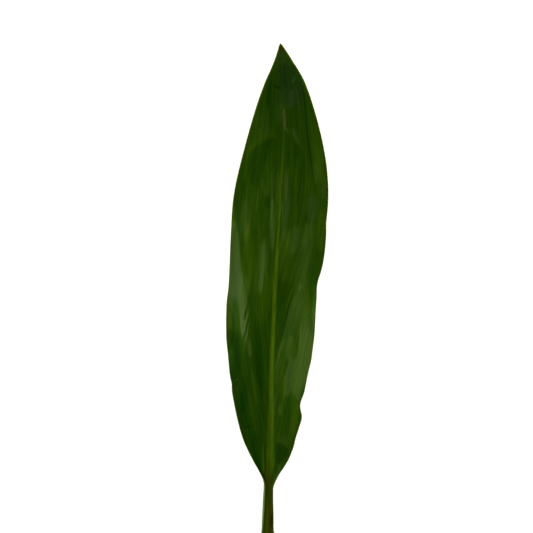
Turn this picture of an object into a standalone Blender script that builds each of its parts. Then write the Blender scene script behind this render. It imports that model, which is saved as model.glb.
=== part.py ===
# A cut ti leaf (Cordyline fruticosa) lying on a table, upper face up.
#
# The leaf grew as one piece, so it is one solid: a clasping base, a channelled stalk, and a
# long blade with a keeled midrib and waving margins. It lies along +Y with its tip away from
# the viewer. The origin is on the table, under the middle of the leaf's bounding box.
#
# Sizes are in millimetres and become metres when the vertices are placed. A "station" is the
# distance along the leaf from its cut end, and every x is measured from the origin.

import math

import bmesh
import bpy

MM = 0.001

LEAF_LENGTH = 518.0
BLADE_START = 70.0  # the stalk's rims begin to open into the blade here
BLADE_FORMED = 106.0  # from here on the cross-section is a blade's
LAMINA = 0.65  # thickness of the blade between midrib and margin
STALK_RIM = 0.9  # thickness of the stalk at its rims

ROWS = 88
HALF_COLUMNS = 14
RIB_COLUMNS = 4  # of each half's columns, those that shape the midrib
RIB_REACH = 1.5  # the midrib's columns reach this many midrib half-widths out
MOST_RIB_REACH = 0.5  # but never beyond this share of the way to the margin
GROOVE_WIDTH = 1.25  # the groove over the midrib, in midrib widths
SAME_POINT = 0.01  # vertices closer than this are one

# How far each rim of the stalk is rolled up and over, in degrees from straight down. The left
# rim leans inwards, so its outside shows from above.
LEFT_RIM_ANGLE = [(0, 66), (20, 84), (40, 116), (BLADE_FORMED, 116)]
RIGHT_RIM_ANGLE = [(0, 62), (20, 76), (40, 96), (BLADE_FORMED, 92)]

# The leaf in plan: (station, x).
RIB_LINE = [
    (0, -8.6), (40, -8.6), (75, -7.9), (100, -6.6), (140, -5.8), (190, -5.7), (240, -4.0),
    (290, -1.3), (345, 2.2), (390, 5.2), (430, 6.4), (480, 5.2), (518, 3.6),
]
LEFT_MARGIN = [
    (0, -17.3), (12, -16.8), (24, -14.0), (32, -12.2), (42, -11.6), (73, -10.9), (79, -11.4),
    (85, -14.0), (101, -23.7), (125, -34.9), (165, -43.9), (200, -48.4), (240, -50.9),
    (280, -47.9), (330, -45.7), (365, -42.9), (400, -35.5), (460, -18.3), (500, -2.3), (518, 3.6),
]
RIGHT_MARGIN = [
    (0, 0.6), (12, -0.2), (24, -3.0), (32, -4.6), (42, -5.0), (73, -5.6), (77, -4.2),
    (85, 0.4), (95, 6.9), (112, 15.3), (135, 21.7), (175, 28.4), (220, 36.7), (260, 39.8),
    (310, 47.9), (365, 51.4), (400, 48.8), (440, 40.6), (480, 27.3), (504, 12.9), (518, 3.6),
]

# Waves of the right margin and a nick in the left one: (station, push outwards, half length).
RIGHT_WAVES = [(277, -2.6, 12), (339, -1.6, 12), (157, -2.6, 9), (144, 1.5, 8), (124, -0.6, 5)]
LEFT_WAVES = [(178, -0.8, 5), (340, -0.7, 12)]

# The stalk's underside above the table, and the midrib: (station, size).
KEEL_HEIGHT = [(0, 0), (24, 0), (50, 1.2), (75, 3.0), (BLADE_FORMED, 5.2)]
RIB_THICKNESS = [(0, 2.4), (30, 2.8), (110, 3.2), (200, 2.7), (300, 2.0), (400, 1.4), (518, 0.7)]
RIB_HALF_WIDTH = [(0, 6.0), (30, 4.4), (110, 3.8), (200, 3.0), (300, 2.3), (400, 1.6), (518, 1.0)]
GROOVE_DEPTH = [(0, 4.2), (72, 4.2), (88, 2.8), (106, 1.3), (180, 0.6), (300, 0.35), (518, 0.1)]

# The upper face above the table. Each row is a station, then the heights at the left margin,
# two and one thirds of the way to it, the midrib's brow, and the same out to the right margin.
# The margins droop below zero where they settle on the table.
BLADE_HEIGHTS = [
    (75, 12.2, 11.4, 10.8, 10.4, 10.8, 11.4, 12.0),
    (100, 14.6, 12.9, 12.4, 12.1, 12.6, 12.8, 13.3),
    (125, 16.4, 14.5, 12.9, 12.8, 13.3, 14.0, 14.9),
    (150, 16.3, 14.0, 12.8, 12.5, 13.7, 14.3, 15.6),
    (175, 13.0, 11.9, 10.9, 11.1, 12.4, 14.3, 16.4),
    (200, 4.0, 8.5, 8.6, 8.8, 11.0, 13.6, 16.3),
    (220, -4.5, 5.8, 7.8, 8.3, 9.8, 12.2, 15.1),
    (240, -6.0, 5.0, 7.8, 8.4, 8.6, 10.8, 13.1),
    (260, 0.4, 5.2, 8.1, 8.5, 7.8, 9.4, 11.3),
    (285, 1.7, 4.8, 6.6, 8.2, 7.7, 9.0, 10.1),
    (310, 1.5, 4.0, 4.9, 6.9, 7.8, 9.0, 9.9),
    (335, 1.2, 3.6, 4.7, 6.6, 7.3, 8.3, 9.4),
    (365, 2.8, 3.8, 5.0, 6.3, 6.5, 6.2, 7.3),
    (400, 5.0, 5.4, 5.3, 5.3, 5.2, 4.0, 4.8),
    (430, 4.8, 5.4, 5.4, 4.6, 3.7, 2.7, 2.2),
    (455, 4.9, 4.8, 3.8, 3.4, 2.5, 1.3, 0.4),
    (480, 3.5, 3.1, 2.6, 2.1, 1.3, 0.4, -0.6),
    (505, 1.0, 0.9, 1.0, 0.8, 0.4, 0.1, 0.0),
    (518, 0.0, 0.0, 0.0, 0.0, 0.0, 0.0, 0.0),
]
BROW = 4  # the column of the midrib's brow in that table
LANDING = 0.8  # how softly a drooping margin comes to lie on the table

# Long soft folds that run with the veins: the line of the crest, as (station, x) from its lower
# end to its upper, then half width and height, which is negative for a valley.
FOLDS = [
    ([(205, -27.0), (235, -30.0), (263, -31.5), (335, -39.5)], 8.0, 0.45),
    ([(130, -15.0), (180, -20.5), (225, -27.0)], 6.0, 0.50),
    ([(200, -1.0), (240, 7.5), (290, 23.0)], 7.0, -0.25),
    ([(320, 11.0), (400, 13.0)], 6.0, 0.50),
    ([(372, 39.5), (406, 34.0), (424, 31.0), (442, 30.0), (490, 26.5)], 6.5, -0.30),
    ([(265, 16.0), (345, 24.0)], 7.0, 0.25),
    ([(230, 22.0), (300, 33.0)], 7.0, 0.20),
    ([(395, -14.0), (460, -8.0)], 6.0, 0.20),
    ([(195, -38.0), (250, -42.0)], 6.0, -0.40),
]

LEAF_GREEN = (0.020, 0.052, 0.002, 1.0)
LEAF_ROUGHNESS = 0.4


def curve_through(points, at):
    """The height at one place of a smooth curve through (place, height) points."""
    at = min(max(at, points[0][0]), points[-1][0])
    last = len(points) - 1
    i = 0
    while i < last - 1 and at > points[i + 1][0]:
        i += 1

    def slope(k):
        (x0, y0), (x1, y1) = points[max(k - 1, 0)], points[min(k + 1, last)]
        return (y1 - y0) / (x1 - x0)

    (x0, y0), (x1, y1) = points[i], points[i + 1]
    span = x1 - x0
    t = (at - x0) / span
    start = (1 + 2 * t) * (1 - t) ** 2 * y0 + t * (1 - t) ** 2 * span * slope(i)
    end = t * t * (3 - 2 * t) * y1 - t * t * (1 - t) * span * slope(i + 1)
    return start + end


def smooth_step(low, high, value):
    t = min(max((value - low) / (high - low), 0.0), 1.0)
    return t * t * (3 - 2 * t)


def bell(q):
    """1 at q = 0, falling smoothly to 0 at q = 1 and beyond."""
    return (1 - q * q) ** 2 if abs(q) < 1 else 0.0


def mix(a, b, share):
    return a + (b - a) * share


def margin_x(side, station):
    margin, waves = (LEFT_MARGIN, LEFT_WAVES) if side < 0 else (RIGHT_MARGIN, RIGHT_WAVES)
    push = sum(out * math.exp(-(((station - at) / length) ** 2)) for at, out, length in waves)
    return curve_through(margin, station) + side * push


def fold_height(x, station):
    """What the folds add to the upper face at one place."""
    total = 0.0
    for line, half_width, height in FOLDS:
        along = (station - line[0][0]) / (line[-1][0] - line[0][0])
        if 0 < along < 1:
            off_line = (x - curve_through(line, station)) / half_width
            total += height * bell(off_line) * 4 * along * (1 - along)
    return total


def blade_height(side, share, station):
    """The blade's upper face, share of the way from the midrib to a margin, without its folds."""
    heights = []
    for third in range(4):
        column = BROW + side * third
        along = [(row[0], row[column]) for row in BLADE_HEIGHTS]
        heights.append((third / 3, curve_through(along, station)))
    return curve_through(heights, share)


def settled(gap):
    """The gap under the leaf, eased to nothing where the leaf would sink into the table."""
    if gap > LANDING:
        return gap
    return max(gap + LANDING, 0) ** 2 / (4 * LANDING)


def column_share(column, half_width, station):
    """How far a column lies from the midrib to the margin. The blade's columns crowd at the midrib."""
    even = column / HALF_COLUMNS
    rib_edge = RIB_REACH * curve_through(RIB_HALF_WIDTH, station) / half_width
    shoulder = min(rib_edge, MOST_RIB_REACH)
    if column <= RIB_COLUMNS:
        crowded = shoulder * column / RIB_COLUMNS
    else:
        crowded = mix(shoulder, 1, (column - RIB_COLUMNS) / (HALF_COLUMNS - RIB_COLUMNS))
    return mix(even, crowded, smooth_step(BLADE_START, BLADE_FORMED, station))


def thickness(share, half_width, station):
    """Thickness of the leaf: full at the midrib, thin in the blade and at the stalk's rims."""
    rib = curve_through(RIB_THICKNESS, station)
    blade = mix(LAMINA, rib, bell(share * half_width / curve_through(RIB_HALF_WIDTH, station)))
    stalk = mix(rib, STALK_RIM, share**1.5)
    return mix(stalk, blade, smooth_step(BLADE_START, BLADE_FORMED, station))


def leaf_point(column, station):
    """One point of the upper face, as (x, height), with the leaf's thickness there."""
    side = -1 if column < 0 else 1
    rib_x = curve_through(RIB_LINE, station)
    reach = margin_x(side, station) - rib_x
    half_width = max(abs(reach), LAMINA)
    share = column_share(abs(column), half_width, station)
    flesh = thickness(share, half_width, station)
    floor = curve_through(KEEL_HEIGHT, station) + curve_through(RIB_THICKNESS, station)
    groove = curve_through(GROOVE_DEPTH, station)

    # The stalk is a channel whose walls are rolled up, and over on the left.
    rim = math.radians(curve_through(LEFT_RIM_ANGLE if side < 0 else RIGHT_RIM_ANGLE, station))
    stalk_x = reach * math.sin(rim * share) / math.sin(rim)
    stalk_z = floor + groove * (1 - math.cos(rim * share)) / (1 - math.cos(rim))

    # The blade is a waving sheet with a groove over the midrib.
    blade_x = reach * share
    groove_half_width = GROOVE_WIDTH * curve_through(RIB_HALF_WIDTH, station)
    cut = groove * bell(share * half_width / groove_half_width)
    blade_z = blade_height(side, share, station) - cut + fold_height(rib_x + blade_x, station)

    opened = smooth_step(BLADE_START, BLADE_FORMED, station)
    x = rib_x + mix(stalk_x, blade_x, opened)
    gap = mix(stalk_z - flesh, settled(blade_z - flesh), opened)
    return x, max(gap, 0) + flesh, flesh


def add_material(name, colour, roughness):
    material = bpy.data.materials.new(name)
    material.use_nodes = True
    shader = material.node_tree.nodes["Principled BSDF"]
    shader.inputs["Base Color"].default_value = colour
    shader.inputs["Roughness"].default_value = roughness
    shader.inputs["Metallic"].default_value = 0.0
    material.diffuse_color = colour
    return material


def add_leaf(collection):
    """A grid laid out as the leaf's upper face, thickened downwards by Solidify."""
    columns = 2 * HALF_COLUMNS
    bpy.ops.mesh.primitive_grid_add(x_subdivisions=columns, y_subdivisions=ROWS, size=2)
    leaf = bpy.context.object
    leaf.name = leaf.data.name = "ti_leaf"
    for old in leaf.users_collection:
        old.objects.unlink(leaf)
    collection.objects.link(leaf)

    flesh = leaf.vertex_groups.new(name="flesh")
    thickest = max(size for _, size in RIB_THICKNESS)
    for vertex in leaf.data.vertices:
        column = round(vertex.co.x * HALF_COLUMNS)
        station = (vertex.co.y + 1) / 2 * LEAF_LENGTH
        x, z, depth = leaf_point(column, station)
        vertex.co = (x * MM, (station - LEAF_LENGTH / 2) * MM, z * MM)
        flesh.add([vertex.index], depth / thickest, "REPLACE")

    # The last row closes to the leaf's point, and both faces are then split alike.
    shape = bmesh.new()
    shape.from_mesh(leaf.data)
    bmesh.ops.remove_doubles(shape, verts=shape.verts, dist=SAME_POINT * MM)
    bmesh.ops.triangulate(shape, faces=shape.faces, quad_method="SHORT_EDGE")
    shape.to_mesh(leaf.data)
    shape.free()

    solid = leaf.modifiers.new("thickness", "SOLIDIFY")
    solid.thickness = thickest * MM
    solid.offset = -1
    solid.vertex_group = flesh.name
    solid.use_rim = True

    leaf.data.materials.append(add_material("leaf_green", LEAF_GREEN, LEAF_ROUGHNESS))
    leaf.data.shade_smooth()
    return leaf


def main():
    for obj in list(bpy.data.objects):
        bpy.data.objects.remove(obj, do_unlink=True)
    collection = bpy.data.collections.new("ti_leaf")
    bpy.context.scene.collection.children.link(collection)
    add_leaf(collection)


main()
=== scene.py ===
# A cut ti leaf lying on a pale table, seen from straight above.
# The leaf's tables are in millimetres. A station is the distance along the leaf from its cut
# end, and every x is measured from the frame's origin, under the middle of the leaf.
import math

import bpy
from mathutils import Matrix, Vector, noise


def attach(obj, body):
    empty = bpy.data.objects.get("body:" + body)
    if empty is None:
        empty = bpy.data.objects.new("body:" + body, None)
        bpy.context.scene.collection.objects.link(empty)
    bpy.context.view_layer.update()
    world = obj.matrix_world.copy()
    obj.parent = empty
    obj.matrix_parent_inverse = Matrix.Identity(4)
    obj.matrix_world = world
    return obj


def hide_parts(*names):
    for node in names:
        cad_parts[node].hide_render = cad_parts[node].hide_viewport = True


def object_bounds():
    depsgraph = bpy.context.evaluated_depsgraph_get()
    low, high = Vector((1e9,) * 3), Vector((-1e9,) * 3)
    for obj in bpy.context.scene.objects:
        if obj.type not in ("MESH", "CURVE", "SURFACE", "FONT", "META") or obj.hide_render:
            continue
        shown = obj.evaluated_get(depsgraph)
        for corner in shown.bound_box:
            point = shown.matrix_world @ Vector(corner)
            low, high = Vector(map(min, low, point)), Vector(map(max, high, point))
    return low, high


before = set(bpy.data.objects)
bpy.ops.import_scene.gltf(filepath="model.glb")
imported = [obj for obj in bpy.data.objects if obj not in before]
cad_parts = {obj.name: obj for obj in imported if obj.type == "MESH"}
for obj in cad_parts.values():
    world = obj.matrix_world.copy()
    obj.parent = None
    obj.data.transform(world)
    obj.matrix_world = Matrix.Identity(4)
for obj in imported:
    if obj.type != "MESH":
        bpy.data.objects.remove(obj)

cadLow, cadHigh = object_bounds()
mm = 0.001
print("frame loaded:", sorted(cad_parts))

# The leaf's own shape, the same curves as the solid in the frame, on a much finer grid.
leaf = {
    "length": 518.0,
    "bladeStart": 70.0,      # the stalk's rims begin to open here
    "bladeFormed": 106.0,    # and the section is a blade's from here on
    "lamina": 0.65,
    "marginEdge": 0.4,       # the blade thins to this at its very edge
    "stalkRim": 0.9,
    "stalkThins": 1.5,       # how late it thins from the middle to the rim
    "edgeThins": 1.2,        # the blade thins over this last stretch
    "tipGap": 0.8,           # the last row stands this far short of the tip
    "rowStep": [(0, 1.5), (170, 1.5), (176, 0.75), (184, 0.75), (190, 1.5), (210, 1.5), (216, 0.8),
                (250, 0.8), (256, 1.5), (518, 1.5)],   # of the grid that both faces are built on
    "upperColumns": (100, 10),   # columns in each half of the upper face, and how many lie over the rib
    "underColumns": (26, 6),
    "ribReach": 1.5,         # how far those reach, in half widths of the rib
    "mostRibShare": 0.5,     # but no further than this share of the half blade
    "grooveWidth": 1.25,     # in half widths of the rib
    "landing": 0.8,          # how softly a drooping margin comes to lie on the table
    "leftRimAngle": [(0, 66), (20, 84), (40, 116), (106, 116)],
    "rightRimAngle": [(0, 62), (20, 76), (40, 96), (106, 92)],
    # The stations of these three were chosen one by one. Their x were read off the photo by a program,
    # apart from the guessed cut end's, and the margins' was then nudged until the edges met.
    "ribLine": [
        (0, -8.6), (40, -8.6), (75, -7.9), (100, -6.6), (140, -5.8), (190, -5.7), (240, -4.0),
        (290, -1.3), (345, 2.2), (390, 5.2), (430, 6.4), (480, 5.2), (518, 3.6)],
    "leftMargin": [
        (0, -17.9), (12, -17.5), (24, -15.2), (32, -13.6), (42, -12.8), (54, -12.1), (66, -11.5),
        (73, -11.1), (79, -11.4), (85, -13.9), (101, -23.5), (125, -34.5), (165, -43.9),
        (200, -48.4), (240, -50.9), (280, -48.1), (330, -46.0), (365, -43.3), (400, -35.8),
        (460, -18.7), (500, -2.7), (512, 1.2), (516.7, 2.5), (518, 3.6)],
    "rightMargin": [
        (0, 0.9), (12, 0.1), (24, -2.7), (32, -4.3), (42, -4.6), (73, -5.1), (77, -3.8),
        (85, 0.5), (95, 7.4), (112, 15.7), (135, 22.0), (175, 28.5), (220, 36.7), (260, 39.7),
        (310, 47.9), (365, 51.4), (400, 49.1), (440, 40.8), (480, 27.6), (504, 13.5),
        (512, 8.3), (516.7, 5.0), (518, 3.6)],
    # margin waves: (station, push outwards, half length)
    "rightWaves": [
        (277, -2.0, 12), (339, -1.0, 12), (157, -2.6, 9), (144, 1.5, 8), (124, -0.6, 5), (101, 0.4, 5),
        (201, 0.6, 9)],
    "leftWaves": [(178, -0.8, 5), (220, 0.35, 8), (260, 0.45, 9), (481, 0.4, 8)],
    "keelHeight": [(0, 0), (24, 0), (50, 1.2), (75, 3.0), (106, 5.2)],
    "ribThickness": [(0, 2.4), (30, 2.8), (110, 3.2), (200, 2.7), (300, 2.0), (400, 1.4), (518, 0.7)],
    "ribHalfWidth": [(0, 6.0), (30, 4.4), (110, 3.8), (200, 3.0), (300, 2.3), (400, 1.6), (518, 1.0)],
    "grooveDepth": [(0, 4.2), (66, 4.2), (84, 2.2), (106, 0.7), (180, 0.3), (300, 0.2), (518, 0.1)],
    # station, then heights at the left margin, 2/3 and 1/3 in, the brow, 1/3, 2/3, right margin
    # Most of them were not set by hand: another script fitted them to the photo's soft shading.
    "heights": [
        (75, 12.2, 11.4, 10.8, 10.4, 10.8, 11.4, 12.0),
        (100, 14.6, 12.9, 12.4, 12.1, 12.6, 12.8, 13.3),
        (125, 16.4, 14.5, 12.9, 12.8, 13.3, 14.0, 14.9),
        (150, 16.3, 14.0, 12.8, 12.5, 13.7, 14.3, 15.6),
        (175, 13.0, 11.9, 10.9, 11.1, 12.4, 14.3, 16.4),
        (200, 4.0, 8.5, 8.6, 8.8, 11.0, 13.6, 16.3),
        (220, -4.5, 5.8, 7.8, 8.3, 9.8, 12.2, 15.1),
        (240, -6.0, 5.0, 7.8, 8.4, 8.6, 10.8, 13.1),
        (260, 0.4, 5.2, 8.1, 8.5, 7.8, 9.4, 11.3),
        (285, 1.7, 4.8, 6.6, 8.2, 7.7, 9.0, 10.1),
        (310, 1.5, 4.0, 4.9, 6.9, 7.8, 9.0, 9.9),
        (335, 1.2, 3.6, 4.7, 6.6, 7.3, 8.3, 9.4),
        (365, 2.8, 3.8, 5.0, 6.3, 6.5, 6.2, 7.3),
        (400, 5.0, 5.4, 5.3, 5.3, 5.2, 4.0, 4.8),
        (430, 4.8, 5.4, 5.4, 4.6, 3.7, 2.7, 2.2),
        (455, 4.9, 4.8, 3.8, 3.4, 2.5, 1.3, 0.4),
        (480, 3.5, 3.1, 2.6, 2.1, 1.3, 0.4, -0.6),
        (505, 1.0, 0.9, 1.0, 0.8, 0.4, 0.1, 0.0),
        (518, 0.0, 0.0, 0.0, 0.0, 0.0, 0.0, 0.0)],
    "browColumn": 4,         # of the midrib's brow in those rows
    # crest line of (station, x), half width, height. The lines were given one by one, and the heights,
    # but for the last, lie within 0.06 of the same fit's results.
    "folds": [
        ([(205, -27.0), (235, -30.0), (263, -31.5), (335, -39.5)], 8.0, 0.45),
        ([(130, -15.0), (180, -20.5), (225, -27.0)], 6.0, 0.50),
        ([(200, -1.0), (240, 7.5), (290, 23.0)], 7.0, -0.25),
        ([(320, 11.0), (400, 13.0)], 6.0, 0.50),
        ([(372, 39.5), (406, 34.0), (424, 31.0), (442, 30.0), (490, 26.5)], 6.5, -0.30),
        ([(265, 16.0), (345, 24.0)], 7.0, 0.25),
        ([(230, 22.0), (300, 33.0)], 7.0, 0.20),
        ([(395, -14.0), (460, -8.0)], 6.0, 0.20),
        ([(195, -38.0), (250, -42.0)], 6.0, -0.40)],
}

# Small creases that the solid leaves out: crest line, half width, height.
creases = [
    ([(322, -4.3), (392, -4.3)], 1.8, 0.2),
    ([(332, -1.2), (378, -1.2)], 1.3, -0.15),
    ([(205, 21.2), (242, 23.4)], 1.6, -0.3),
    ([(138, 7.6), (162, 8.4)], 1.6, -0.2),
    ([(383, 37.2), (395, 35.3), (411, 33.2), (431, 30.5), (456, 28.7), (468, 27.2), (482, 22.2)],
     1.6, -0.2),
    ([(86, -11.4), (125, -11.6)], 1.8, -0.1),
    ([(240, -32.2), (248.5, -30.6), (255, -28.8)], 1.5, -0.35),
    ([(229, -30.6), (235, -29.5), (243, -27.5)], 1.5, -0.35),
    ([(220, -33.3), (226.5, -31.5), (232.5, -29.6)], 1.5, -0.35),
]

# Veins leave the midrib at a narrow angle and run out to the margin and on towards the tip.
veins = {
    "evenAt": 45.0,      # the half width of blade at which they keep their full spacing
    # how far out from the midrib the vein that starts at the blade's foot has run by each station
    "leftRun": [(0, 0), (100, 0), (200, 19), (230, 24), (260, 27), (340, 29), (518, 30)],
    "rightRun": [(0, 0), (100, 0), (200, 21), (300, 46), (345, 54), (380, 57), (518, 60)],
    "edgeRun": 0.7,      # share of that run that is left at the margin
    "ridgeWidth": 1.7,   # low ridges along them
    "ridgeHeight": 0.08,
    "ridgeChange": 0.012,      # how fast a ridge changes along the leaf, for each millimetre
    "ridgeStart": (0.04, 0.16),   # shares of the way to the margin over which the ridges rise
    "ridgeEnd": (0.93, 1.0),      # and fall again
    "sideShift": 7.0,    # so that the ridges on the two sides differ,
    "sideApart": 500,    # and the streaks of colour too
}


def curveThrough(points, at):
    at = min(max(at, points[0][0]), points[-1][0])
    last = len(points) - 1
    i = 0
    while i < last - 1 and at > points[i + 1][0]:
        i += 1

    def slope(k):
        (x0, y0), (x1, y1) = points[max(k - 1, 0)], points[min(k + 1, last)]
        return (y1 - y0) / (x1 - x0)

    (x0, y0), (x1, y1) = points[i], points[i + 1]
    span = x1 - x0
    t = (at - x0) / span
    start = (1 + 2 * t) * (1 - t) ** 2 * y0 + t * (1 - t) ** 2 * span * slope(i)
    end = t * t * (3 - 2 * t) * y1 - t * t * (1 - t) * span * slope(i + 1)
    return start + end


def smoothStep(low, high, value):
    t = min(max((value - low) / (high - low), 0.0), 1.0)
    return t * t * (3 - 2 * t)


def bell(q):
    return (1 - q * q) ** 2 if abs(q) < 1 else 0.0


def mix(a, b, share):
    return a + (b - a) * share


def marginX(side, station):
    name = "left" if side < 0 else "right"
    waves = leaf[name + "Waves"]
    push = sum(out * math.exp(-(((station - at) / length) ** 2)) for at, out, length in waves)
    return curveThrough(leaf[name + "Margin"], station) + side * push


def atEnds(along):
    # marks come and go over the first and the last fifth of their length
    return smoothStep(0, 0.2, along) * smoothStep(0, 0.2, 1 - along)


def lens(along):
    # marks draw in to three tenths of their width at both ends
    return 0.3 + 2.8 * along * (1 - along)


def foldsAt(folds, station):
    # the folds that cross this station, as (x, half width, height there)
    found = []
    for line, halfWidth, height in folds:
        along = (station - line[0][0]) / (line[-1][0] - line[0][0])
        if 0 < along < 1:
            found.append((curveThrough(line, station), halfWidth, height * 4 * along * (1 - along)))
    return found


def marksAt(marks, station):
    # the marks that cross this station, as (x, width to the left, width to the right, amount)
    found = []
    for line, left, right, amount in marks:
        along = (station - line[0][0]) / (line[-1][0] - line[0][0])
        if 0 < along < 1:
            narrowed = lens(along)
            found.append((curveThrough(line, station), left * narrowed, right * narrowed,
                          amount * atEnds(along)))
    return found


def marked(found, x):
    return sum(amount * bell((x - at) / (left if x < at else right)) for at, left, right, amount in found)


def arched(arches, x, station):
    # marks that run across the leaf, with a width towards the tip and one towards the stalk
    total = 0
    for line, above, below, amount in arches:
        along = (x - line[0][0]) / (line[-1][0] - line[0][0])
        if 0 < along < 1:
            away = station - curveThrough(line, x)
            total += amount * bell(away / (above if away > 0 else below)) * atEnds(along)
    return total


def patchesAt(outlined, station):
    found = []
    for patch in outlined:
        lowest = min(s - soft for x, s, soft in patch[0])
        highest = max(s + soft for x, s, soft in patch[0])
        if lowest < station < highest:
            found.append(patch)
    return found


def covered(corners, x, station):
    # 1 well inside an outline and 0 well outside it, as soft as each edge is
    inside = False
    edges = []
    for start, end in zip(corners, corners[1:] + corners[:1]):
        run, rise = end[0] - start[0], end[1] - start[1]
        along = ((x - start[0]) * run + (station - start[1]) * rise) / (run * run + rise * rise)
        along = min(max(along, 0.0), 1.0)
        away = math.hypot(x - start[0] - along * run, station - start[1] - along * rise)
        edges.append((away, mix(start[2], end[2], along)))
        if (start[1] > station) != (end[1] > station) and x < start[0] + run * (station - start[1]) / rise:
            inside = not inside
    if inside:
        return min(smoothStep(-soft, soft, away) for away, soft in edges)
    return max(smoothStep(-soft, soft, -away) for away, soft in edges)


def sectionAt(side, station):
    # everything about one half of one row that doesn't change across it
    ribX = curveThrough(leaf["ribLine"], station)
    reach = marginX(side, station) - ribX
    rims = leaf["leftRimAngle"] if side < 0 else leaf["rightRimAngle"]
    heights = []
    for third in range(4):
        column = leaf["browColumn"] + side * third
        along = [(row[0], row[column]) for row in leaf["heights"]]
        heights.append((third / 3, curveThrough(along, station)))
    return {
        "station": station, "side": side, "ribX": ribX, "reach": reach, "heights": heights,
        "halfWidth": max(abs(reach), leaf["lamina"]),
        "rim": math.radians(curveThrough(rims, station)),
        "keel": curveThrough(leaf["keelHeight"], station),
        "ribThick": curveThrough(leaf["ribThickness"], station),
        "ribHalf": curveThrough(leaf["ribHalfWidth"], station),
        "groove": curveThrough(leaf["grooveDepth"], station),
        "opened": smoothStep(leaf["bladeStart"], leaf["bladeFormed"], station),
        "folds": foldsAt(leaf["folds"] + creases, station),
        "veinRun": curveThrough(veins["leftRun" if side < 0 else "rightRun"], station),
    }


def veinAt(row, share):
    # distance across the veins in millimetres, the same all along any one vein
    run = row["veinRun"] * mix(1, veins["edgeRun"], share * share)
    return share * math.sqrt(row["halfWidth"] * veins["evenAt"]) - run


def veinRelief(row, share):
    # low uneven ridges along the veins, gone at the midrib, the margin and the stalk
    across, along = veinAt(row, share) / veins["ridgeWidth"], row["station"] * veins["ridgeChange"]
    ridge = noise.noise((across, along, veins["sideShift"] * row["side"]))
    edges = smoothStep(*veins["ridgeStart"], share) * (1 - smoothStep(*veins["ridgeEnd"], share))
    edges *= row["opened"]
    return veins["ridgeHeight"] * ridge * edges


def settled(gap):
    # the gap under the leaf, eased to nothing where the leaf would sink into the table
    if gap > leaf["landing"]:
        return gap
    return max(gap + leaf["landing"], 0) ** 2 / (4 * leaf["landing"])


def columnShare(row, column, counts):
    # how far out a column lies, with some columns crowded over the rib
    halfColumns, ribColumns = counts
    even = column / halfColumns
    shoulder = min(leaf["ribReach"] * row["ribHalf"] / row["halfWidth"], leaf["mostRibShare"])
    if column <= ribColumns:
        crowded = shoulder * column / ribColumns
    else:
        crowded = mix(shoulder, 1, (column - ribColumns) / (halfColumns - ribColumns))
    return mix(even, crowded, row["opened"])


def leafPoint(row, share):
    # x, height and thickness of the leaf at one share of the way from the midrib to the margin
    blade = mix(leaf["lamina"], row["ribThick"], bell(share * row["halfWidth"] / row["ribHalf"]))
    stalk = mix(row["ribThick"], leaf["stalkRim"], share ** leaf["stalkThins"])
    flesh = mix(stalk, blade, row["opened"])

    # the stalk is a channel whose walls are rolled up, and over on the left
    rim = row["rim"]
    stalkX = row["reach"] * math.sin(rim * share) / math.sin(rim)
    stalkZ = row["keel"] + row["ribThick"]
    stalkZ += row["groove"] * (1 - math.cos(rim * share)) / (1 - math.cos(rim))

    # the blade is a waving sheet with a groove over the midrib
    bladeX = row["reach"] * share
    grooveHalf = leaf["grooveWidth"] * row["ribHalf"]
    bladeZ = curveThrough(row["heights"], share)
    bladeZ -= row["groove"] * bell(share * row["halfWidth"] / grooveHalf)
    for foldX, halfWidth, height in row["folds"]:
        bladeZ += height * bell((row["ribX"] + bladeX - foldX) / halfWidth)

    x = row["ribX"] + mix(stalkX, bladeX, row["opened"])
    gap = mix(stalkZ - flesh, settled(bladeZ - flesh), row["opened"])
    z = max(gap, 0) + flesh + veinRelief(row, share)
    toEdge = (1 - share) * row["halfWidth"]
    thin = flesh
    if row["opened"] == 1:
        thin = mix(leaf["marginEdge"], flesh, smoothStep(0, leaf["edgeThins"], toEdge))
    return x, z, thin, toEdge


# Lines that more than one mark follows, the two arches as (x, station) and the rest as (station, x).
lines = {
    "leftArch": [(-31, 402), (-24.9, 411), (-14.9, 419), (-8.9, 423), (-4.9, 424.2),
        (-1.9, 422.5), (2.5, 415)],
    "rightArch": [(7, 431), (14.2, 428), (19.2, 423), (22.2, 418), (25.5, 412), (30.5, 400)],
    "besideRib": [(312, 4.4), (331, 6.6), (341, 8.2), (351, 9.2), (361, 10), (371, 9.2),
        (381, 9.1), (397, 11)],
    "rightFold": [(203, -0.2), (216, 3.4), (224, 6.0), (234, 8.8), (246, 11.8), (256, 14.4),
        (272, 19.2)],
    "rightSheen": [(238, 19), (262, 23), (281, 25.5), (296, 27.7), (311, 29.7), (330, 33),
        (352, 36)],
    "upperWrinkle": [(240, -32.6), (243, -31.9), (248.5, -30.6), (252.5, -29.3), (256, -28.6)],
    "middleWrinkle": [(228.5, -30.8), (235, -29.5), (241, -27.9), (244, -27.2)],
    "stalkLeft": [(-60, -15.0), (33, -12.9), (46, -12.3), (61, -11.8), (71, -11.3), (96, -10.8)],
    "stalkRight": [(-60, -6.0), (80, -5.8), (100, -4.6)],
}
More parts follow.
